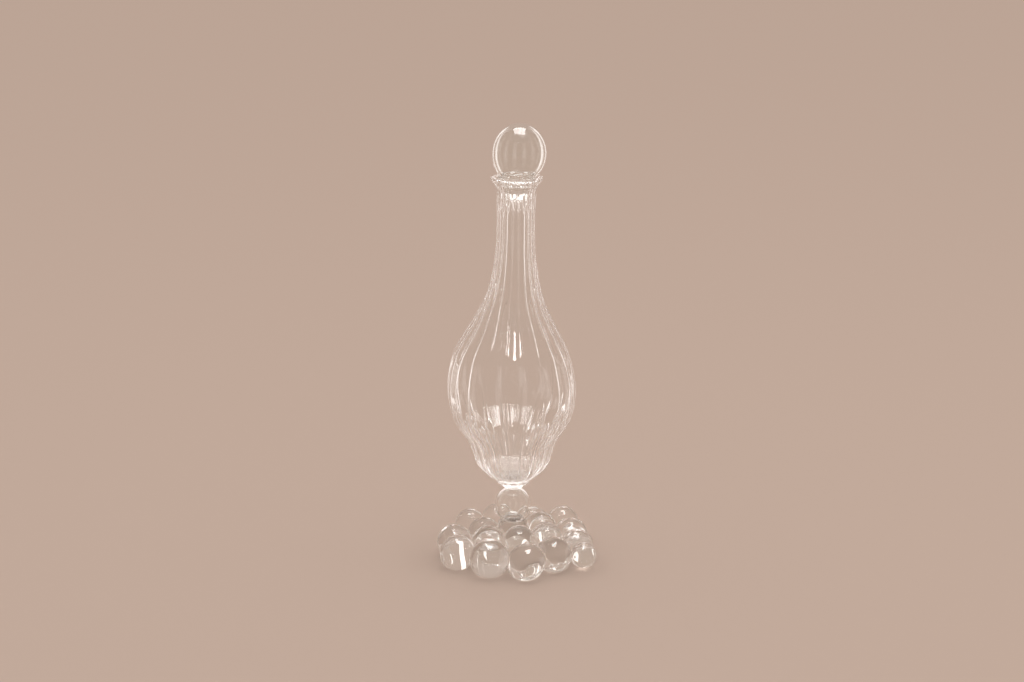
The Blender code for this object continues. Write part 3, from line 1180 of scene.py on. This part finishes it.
@dataclass
class Studio:
    """A pale floor, soft lamps and the camera at the photograph's viewing angle."""

    floor_radius: float = 9.0
    floor_sides: int = 128
    floor_drop: float = 0.0003
    floor_colour: Colour = (0.62, 0.47, 0.39)
    backdrop: Colour = (0.52, 0.395, 0.33)
    ceiling: Colour = (0.58, 0.47, 0.41)
    # How far up a ray points, of 1 for straight up, where the ceiling's colour starts and where it is full
    ceiling_from: Pair = (0.45, 0.9)
    fill: Colour = (1.0, 0.98, 0.96)
    fill_strength: float = 0.80
    gathered_width: float = 0.09
    gathered_power: float = 0.020
    gathered_place: tuple[float, float, float] = (0.002, -0.004, 0.03)
    bounces: int = 128
    focal_mm: float = 108.0
    sensor_mm: float = 36.0
    camera_place: tuple[float, float, float] = (-0.0008, -2.350, 0.7927)
    camera_pitch: float = math.radians(14.62)
    softboxes: tuple[Softbox, ...] = (
        Softbox(
            "floor_softbox", place=(0.3, -0.2, 2.2), aim=(0.0, 0.0, 0.0), width=1.00, height=1.00,
            power=4.0,
        ),
        Softbox(
            "overhead_softbox", place=(0.0, 0.12, 1.45), aim=(0.0, 0.0, 0.2), width=0.80, height=0.75,
            power=19.0, lights_floor=False, shows_through=False,
        ),
        Softbox(
            "bowl_softbox", place=(0.0, -0.225, 1.35), aim=(0.0, -0.225, 0.0), width=2.40, height=0.75,
            power=17.0, lights_floor=False, only_for=VESSEL, reflects=False,
        ),
    )
    rings: tuple[LampRing, ...] = (
        LampRing(
            "front_strip", (-83.2,), distance=0.903, lift=1.015, aim=0.186, width=0.29, height=0.097,
            radiance=14.0, only_for=VESSEL,
        ),
        LampRing(
            "front_softbox", (-90.0,), distance=0.686, lift=1.177, aim=0.12, width=0.42, height=0.34,
            radiance=8.0, only_for=VESSEL, reflects=False,
        ),
        LampRing(
            "side_softbox", (-145.0, -35.0), distance=0.78, lift=1.05, aim=0.12, width=0.22, height=0.34,
            radiance=7.0, only_for=VESSEL, reflects=False,
        ),
        LampRing(
            "back_softbox", (57.0, 90.0, 123.0), distance=0.80, lift=0.70, aim=0.29, width=0.27,
            height=0.60, radiance=1.8, only_for=VESSEL,
        ),
        LampRing(
            "foot_softbox", (-82.0,), distance=0.33, lift=1.25, aim=0.02, width=0.50, height=0.45,
            radiance=12.0, only_for=FOOT, shows_through=False,
        ),
        LampRing(
            "screen", EIGHT_WAYS, distance=0.30, lift=0.12, aim=0.12, width=0.045, height=0.24,
            radiance=1.0, only_for=VESSEL, reflects=False,
        ),
        LampRing(
            "low_screen", EIGHT_WAYS, distance=0.30, lift=0.10, aim=0.10, width=0.030, height=0.20,
            radiance=1.2, only_for=FOOT, reflects=False,
        ),
        LampRing(
            "side_screen", EIGHT_WAYS, distance=0.36, lift=0.24, aim=0.24, width=0.10, height=0.46,
            radiance=0.7, only_for=BUBBLES, reflects=False,
        ),
    )

    def lay_floor(self) -> None:
        """Adds the floor, a hair below the glass."""
        shape = bmesh.new()
        bmesh.ops.create_circle(shape, cap_ends=True, segments=self.floor_sides, radius=self.floor_radius)
        floor = piece_from("studio_floor", shape)
        floor.location.z = -self.floor_drop
        floor.data.materials.append(FloorPaint("pale_floor", self.floor_colour).material())

    def light_room(self) -> None:
        """Sets the room's even fill, and the plain backdrop that the camera and the glass see."""
        world = bpy.data.worlds.new("studio_room")
        bpy.context.scene.world = world
        shader = Shader(world)
        rays = shader.node("ShaderNodeLightPath")
        seen = shader.value(rays, "Is Camera Ray").higher(shader.value(rays, "Is Glossy Ray"))
        seen = seen.higher(shader.value(rays, "Is Transmission Ray"))
        seen = seen * (1.0 - shader.value(rays, "Diffuse Depth")).higher(0.0)
        fill = shader.node(
            "ShaderNodeBackground", inputs={"Color": (*self.fill, 1.0), "Strength": self.fill_strength}
        )
        way = shader.node("ShaderNodeTexCoord").outputs["Generated"]
        rise = shader.node("ShaderNodeSeparateXYZ", inputs={0: way}).outputs["Z"]
        low, high = self.ceiling_from
        up = shader.node(
            "ShaderNodeMapRange",
            {"interpolation_type": "SMOOTHSTEP"},
            {"Value": rise, "From Min": low, "From Max": high},
        )
        room = shader.mix_colour(shader.value(up, 0), self.backdrop, self.ceiling)
        backdrop = shader.node("ShaderNodeBackground", inputs={"Color": room, "Strength": 1.0})
        both = shader.node(
            "ShaderNodeMixShader", inputs={0: seen, 1: fill.outputs[0], 2: backdrop.outputs[0]}
        )
        shader.finish_with("ShaderNodeOutputWorld", both.outputs[0])

    def light_under_foot(self) -> None:
        """Adds the light that the glass balls gather on the floor below them."""
        lamp = bpy.data.lights.new("gathered_light", "AREA")
        lamp.shape = "DISK"
        lamp.size = self.gathered_width
        lamp.energy = self.gathered_power
        lamp.use_shadow = False
        holder = bpy.data.objects.new("gathered_light", lamp)
        holder.location = self.gathered_place
        holder.visible_camera = False
        holder.visible_glossy = False
        holder.visible_transmission = False
        bpy.context.scene.collection.objects.link(holder)
        lit = bpy.data.collections.new("lit_by_gathered_light")
        lit.objects.link(bpy.data.objects["studio_floor"])
        holder.light_linking.receiver_collection = lit

    def set_camera(self) -> None:
        """Puts the camera where the photograph was taken from."""
        camera = bpy.data.cameras.new("photograph_view")
        camera.lens = self.focal_mm
        camera.sensor_width = self.sensor_mm
        holder = bpy.data.objects.new("photograph_view", camera)
        holder.location = self.camera_place
        holder.rotation_euler = (math.pi / 2.0 - self.camera_pitch, 0.0, 0.0)
        bpy.context.scene.collection.objects.link(holder)
        bpy.context.scene.camera = holder

    def build(self) -> None:
        """Sets up the whole studio."""
        self.lay_floor()
        self.light_room()
        for softbox in self.softboxes:
            softbox.hang()
        for ring in self.rings:
            ring.hang()
        self.light_under_foot()
        self.set_camera()
        scene = bpy.context.scene
        scene.view_settings.view_transform = "Standard"
        scene.cycles.max_bounces = self.bounces
        scene.cycles.transmission_bounces = self.bounces
        scene.cycles.glossy_bounces = self.bounces


def main() -> None:
    """Builds every piece in order, then the studio."""
    logging.basicConfig(level=logging.INFO, format="%(name)s: %(message)s")
    vessel_glass = HotGlass(
        "vessel_clear_glass", tint=(0.985, 0.985, 0.985), thick_tint=(0.97, 0.975, 0.97)
    )
    foot_glass = HotGlass(
        "foot_clear_glass", tint=(0.992, 0.995, 0.992), thick_tint=(0.975, 0.985, 0.978)
    )
    stopper_glass = HotGlass(
        "stopper_clear_glass", tint=(0.98, 0.985, 0.98), thick_tint=(0.95, 0.965, 0.955)
    )
    FootCore().dress(foot_glass)
    BallFoot().dress(foot_glass)
    HollowBall(
        "knop_bubble", "knop", Slot.FOOT, Body.CARAFE,
        radius=0.0144, half_height=0.0158, wall=0.0018, seat_radius=0.0096, top_radius=0.0060,
    ).dress(foot_glass)
    Merese().dress(foot_glass)
    Vessel().dress(vessel_glass)
    StopperPlug().dress(stopper_glass)
    HollowBall(
        "stopper_bubble", "stopper_ball", Slot.STOPPER, Body.STOPPER,
        radius=0.0213, half_height=0.0244, wall=0.0021, seat_radius=0.0146, lean=0.0022,
    ).dress(stopper_glass)
    Studio().build()


if __name__ == "__main__":
    main()
